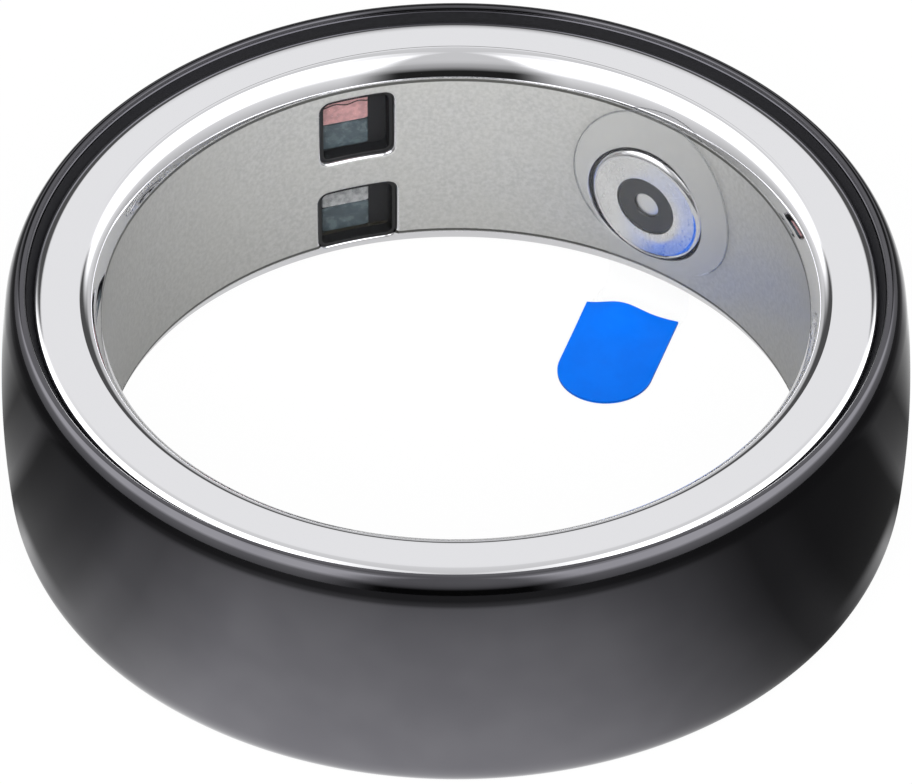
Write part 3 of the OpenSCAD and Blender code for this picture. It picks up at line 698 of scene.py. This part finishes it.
shares = np.linspace(0, 1, 7)
rings = [film_ring(s * FILM_R, FILM_IN) for s in shares]
rings += [film_ring(s * FILM_R, FILM_OUT) for s in np.linspace(1, 0, 7)]
outer, inner = strip_side(0.0), strip_side(FILM_T)
plates = [(np.stack(rings), 0, None), (outer, 0, None), (inner, 0, None)]
plates += [(np.stack([outer[i], inner[i]]), 0, None) for i in (0, -1)]
plates += [(np.stack([outer[:, i], inner[:, i]]), 0, None) for i in (0, -1)]
skin("protective_film_skin", plates, [FINISH["film_clear"]], "film", ["protective_film"])

# %% [markdown]
# Pull tab: a blue film with a straight edge and a round end. The film pulls its edge up a
# little where it comes down from the wall, so the edge bulges by a third of a millimetre,
# which fades along the tab. The outline shrinks towards the middle in rings.

# %% Pull tab
TAB_T, BULGE = 0.08, 0.30


def tab_rings():
    """Rings of the tab, scaled from its outline to its middle, on the top and back below."""
    w = TAB_W / 2
    t = np.radians(np.linspace(0, 180, 41))
    across = np.concatenate([np.linspace(-w, w, 21)[:-1], [w] * 12, w * np.cos(t), [-w] * 12])
    side = np.linspace(0, TAB_L - w, 13)
    along = np.concatenate([np.zeros(20), side[:-1], TAB_L - w + w * np.sin(t), np.linspace(TAB_L - w, 0, 13)[1:]])
    rings = []
    top = [(s, TAB_T) for s in np.linspace(0, 1, 15)]
    back = [(s, 0.0) for s in np.linspace(1, 0, 8)]
    for share, low in top + back:
        a, b = across * share, TAB_L / 2 + (along - TAB_L / 2) * share
        lift = BULGE * np.exp(-((a + 0.3) / 0.75) ** 2) * np.exp(-(b / 0.8) ** 2)
        rings.append(on_tab(a, b) + np.stack([0 * a, 0 * a, FILM_T + low + lift], -1))
    return np.stack(rings)


skin("pull_tab_skin", [(tab_rings(), 0, None)], [FINISH["tab_blue"]], "film", ["pull_tab"])

# %% [markdown]
# The rest of the solids are hidden inside or seen through the dark glass: each gets the
# finish of its material slot.

# %% Finishes for the solids that stay
slots = {row["node"]: row["material_slot"] for row in frame["record"]["subparts"]}
for name, solid in frame["nodes"].items():
    solid.data.materials.clear()
    solid.data.materials.append(FINISH[slots[name]])
print("solids with finishes:", len(slots))

# %% [markdown]
# Studio. The ring is almost all reflection, so what matters is what stands round it. The
# background is plain white for the camera. For reflections, the table is a bright pool
# near the ring that falls off outward and to the sides, where dark card would stand in a
# real studio. Lamps could do the same, but their highlights would be harder than the
# photograph's.

# %% Table
def mixed(tree, share, first, second):
    """Numbers or sockets mixed by a share from 0, the first, to 1, the second."""
    return node(tree, "ShaderNodeMix", {0: share, 2: first, 3: second}, data_type="FLOAT").outputs[0]


def brightness_for_rays(tree, camera, matt, polished):
    """One strength for what the camera sees directly or through glass, one for matt
    surfaces and one for reflections."""
    path = node(tree, "ShaderNodeLightPath").outputs
    direct = sums(tree, "MAXIMUM", path["Is Camera Ray"], path["Is Transmission Ray"])
    value = mixed(tree, path["Is Glossy Ray"], matt, polished)
    return mixed(tree, direct, value, camera)


def table_finish():
    made = bpy.data.materials.new("table")
    made.use_nodes = True
    tree = made.node_tree
    tree.nodes.remove(tree.nodes["Principled BSDF"])
    place = node(tree, "ShaderNodeTexCoord").outputs["Object"]
    x, y, _ = node(tree, "ShaderNodeSeparateXYZ", {0: place}).outputs
    squares = sums(tree, "ADD", sums(tree, "POWER", x, 2.0), sums(tree, "POWER", y, 2.0))
    radius = sums(tree, "SQRT", squares)
    side = sums(tree, "DEGREES", sums(tree, "ARCTAN2", x, sums(tree, "MULTIPLY", y, -1.0)))
    pool = levels(tree, sums(tree, "DIVIDE", radius, MM),
                  [(12, 1.5), (13, 1.42), (16.7, 1.08), (19.8, 0.9), (24, 0.62), (28, 0.2), (40, 0.05)])
    flank = levels(tree, side,
                   [(-180, 1), (-120, .9), (-113, .38), (-100, .055), (-91, .18), (-87, .03), (-79, .1),
                    (-74, .115), (-67, .19), (-61, .38), (-55, .42), (-48, .64), (-37, 1), (-20, 1.03),
                    (0, 1), (12, .95), (25, .75), (37, .42), (48, .16), (55, .04), (61, .04),
                    (67, .005), (87, 0), (91, .1), (100, .03), (113, .38), (120, .9), (180, 1)])
    foot = levels(tree, side, [(-180, 0), (-86, 0), (-78, .45), (-68, .25), (-60, 0),
                               (60, 0), (68, .2), (77, .42), (86, 0), (180, 0)])
    by_wall = spread(tree, radius, 12.9 * MM, 13.4 * MM, 1.0, 0.0)
    far, close = sums(tree, "MULTIPLY", pool, flank), sums(tree, "MULTIPLY", foot, by_wall)
    outside = sums(tree, "ADD", far, close)
    near = spread(tree, radius, 10.5 * MM, 12.5 * MM)
    polished = mixed(tree, near, 0.6, outside)
    light = node(tree, "ShaderNodeEmission", {"Strength": brightness_for_rays(tree, 0.96, 0.08, polished)})
    matt = node(tree, "ShaderNodeBsdfDiffuse", {"Color": (0.05, 0.05, 0.05, 1)})
    both = node(tree, "ShaderNodeAddShader", {0: light.outputs[0], 1: matt.outputs[0]})
    tree.links.new(both.outputs[0], tree.nodes["Material Output"].inputs[0])
    made.cycles.emission_sampling = "NONE"
    return made


half = 1.6
corners = [(x * half, y * half, 0) for x, y in ((-1, -1), (1, -1), (1, 1), (-1, 1))]
mesh = bpy.data.meshes.new("table")
mesh.from_pydata(corners, [], [(0, 1, 2, 3)])
mesh.materials.append(table_finish())
table = bpy.data.objects.new("table", mesh)
table.location.z = -0.00002
bpy.context.scene.collection.objects.link(table)

# %% [markdown]
# The room above the table: soft boxes left and right, a dark stretch low down behind the
# camera and a bright one high behind the ring. Matt surfaces get their light mostly from
# one broad lamp above the camera, which shades the satin wall towards both sides.

# %% Room
def room():
    world = bpy.data.worlds.new("studio")
    bpy.context.scene.world = world
    world.use_nodes = True
    tree = world.node_tree
    way = node(tree, "ShaderNodeTexCoord").outputs["Generated"]
    x, y, z = node(tree, "ShaderNodeSeparateXYZ", {0: way}).outputs
    height = sums(tree, "DEGREES", sums(tree, "ARCSINE", z))
    from_front = sums(tree, "ARCTAN2", x, sums(tree, "MULTIPLY", y, -1.0))
    turn = sums(tree, "ABSOLUTE", sums(tree, "DEGREES", from_front))
    behind_camera = levels(tree, height, [(-90, .05), (0, .02), (14, .02), (22, .45),
                                          (32, .7), (48, .8), (60, .8), (90, .8)])
    behind_ring = levels(tree, height, [(-90, .9), (0, .8), (12, .7), (18, .1), (36, .1),
                                        (39, 1.1), (44, 1.1), (52, .9), (65, .85), (90, .8)])
    flanks = levels(tree, height, [(-90, .5), (0, .6), (20, 1.0), (32, 3.0),
                                   (66, 3.0), (78, 1.4), (90, .8)])
    toward_camera = spread(tree, turn, 16.0, 34.0, 1.0, 0.0)
    toward_back = spread(tree, turn, 136.0, 154.0)
    light = mixed(tree, toward_back, mixed(tree, toward_camera, flanks, behind_camera), behind_ring)
    lamp_height = math.radians(35)
    lamp = (0.0, -math.cos(lamp_height), math.sin(lamp_height))
    toward_lamp = node(tree, "ShaderNodeVectorMath", {0: way, 1: lamp},
                       operation="DOT_PRODUCT").outputs["Value"]
    matt = levels(tree, toward_lamp, [(-1, 0.3), (-.5, 0.12), (0, 0.03), (.5, .3), (.8, 2.3), (1, 5.6)])
    backdrop = node(tree, "ShaderNodeBackground", {"Strength": brightness_for_rays(tree, 1.0, matt, light)})
    out = tree.nodes.get("World Output") or node(tree, "ShaderNodeOutputWorld")
    tree.links.new(backdrop.outputs[0], out.inputs[0])
    world.cycles.sampling_method = "NONE"


room()
bpy.context.scene.view_settings.view_transform = "Standard"

# %% [markdown]
# Camera: a long lens from the front, looking down at 41.5 degrees, as worked out from the
# two ellipses of the ring in the photograph.

# %% Camera
def aim(elevation, distance, target_z, lens):
    camera = bpy.data.objects.new("camera", bpy.data.cameras.new("camera"))
    bpy.context.scene.collection.objects.link(camera)
    e = math.radians(elevation)
    camera.location = (0, -distance * math.cos(e) * MM, (target_z + distance * math.sin(e)) * MM)
    camera.rotation_euler = (math.radians(90 - elevation), 0, 0)
    camera.data.lens, camera.data.sensor_width = lens, 36
    camera.data.clip_start, camera.data.clip_end = 0.01, 10
    bpy.context.scene.camera = camera
    print("camera at", [round(v, 4) for v in camera.location])


aim(41.54, 340.0, 3.434, 477.5)

# %% [markdown]
# The last step brings the scene up to date.

# %% The end
bpy.context.view_layer.update()
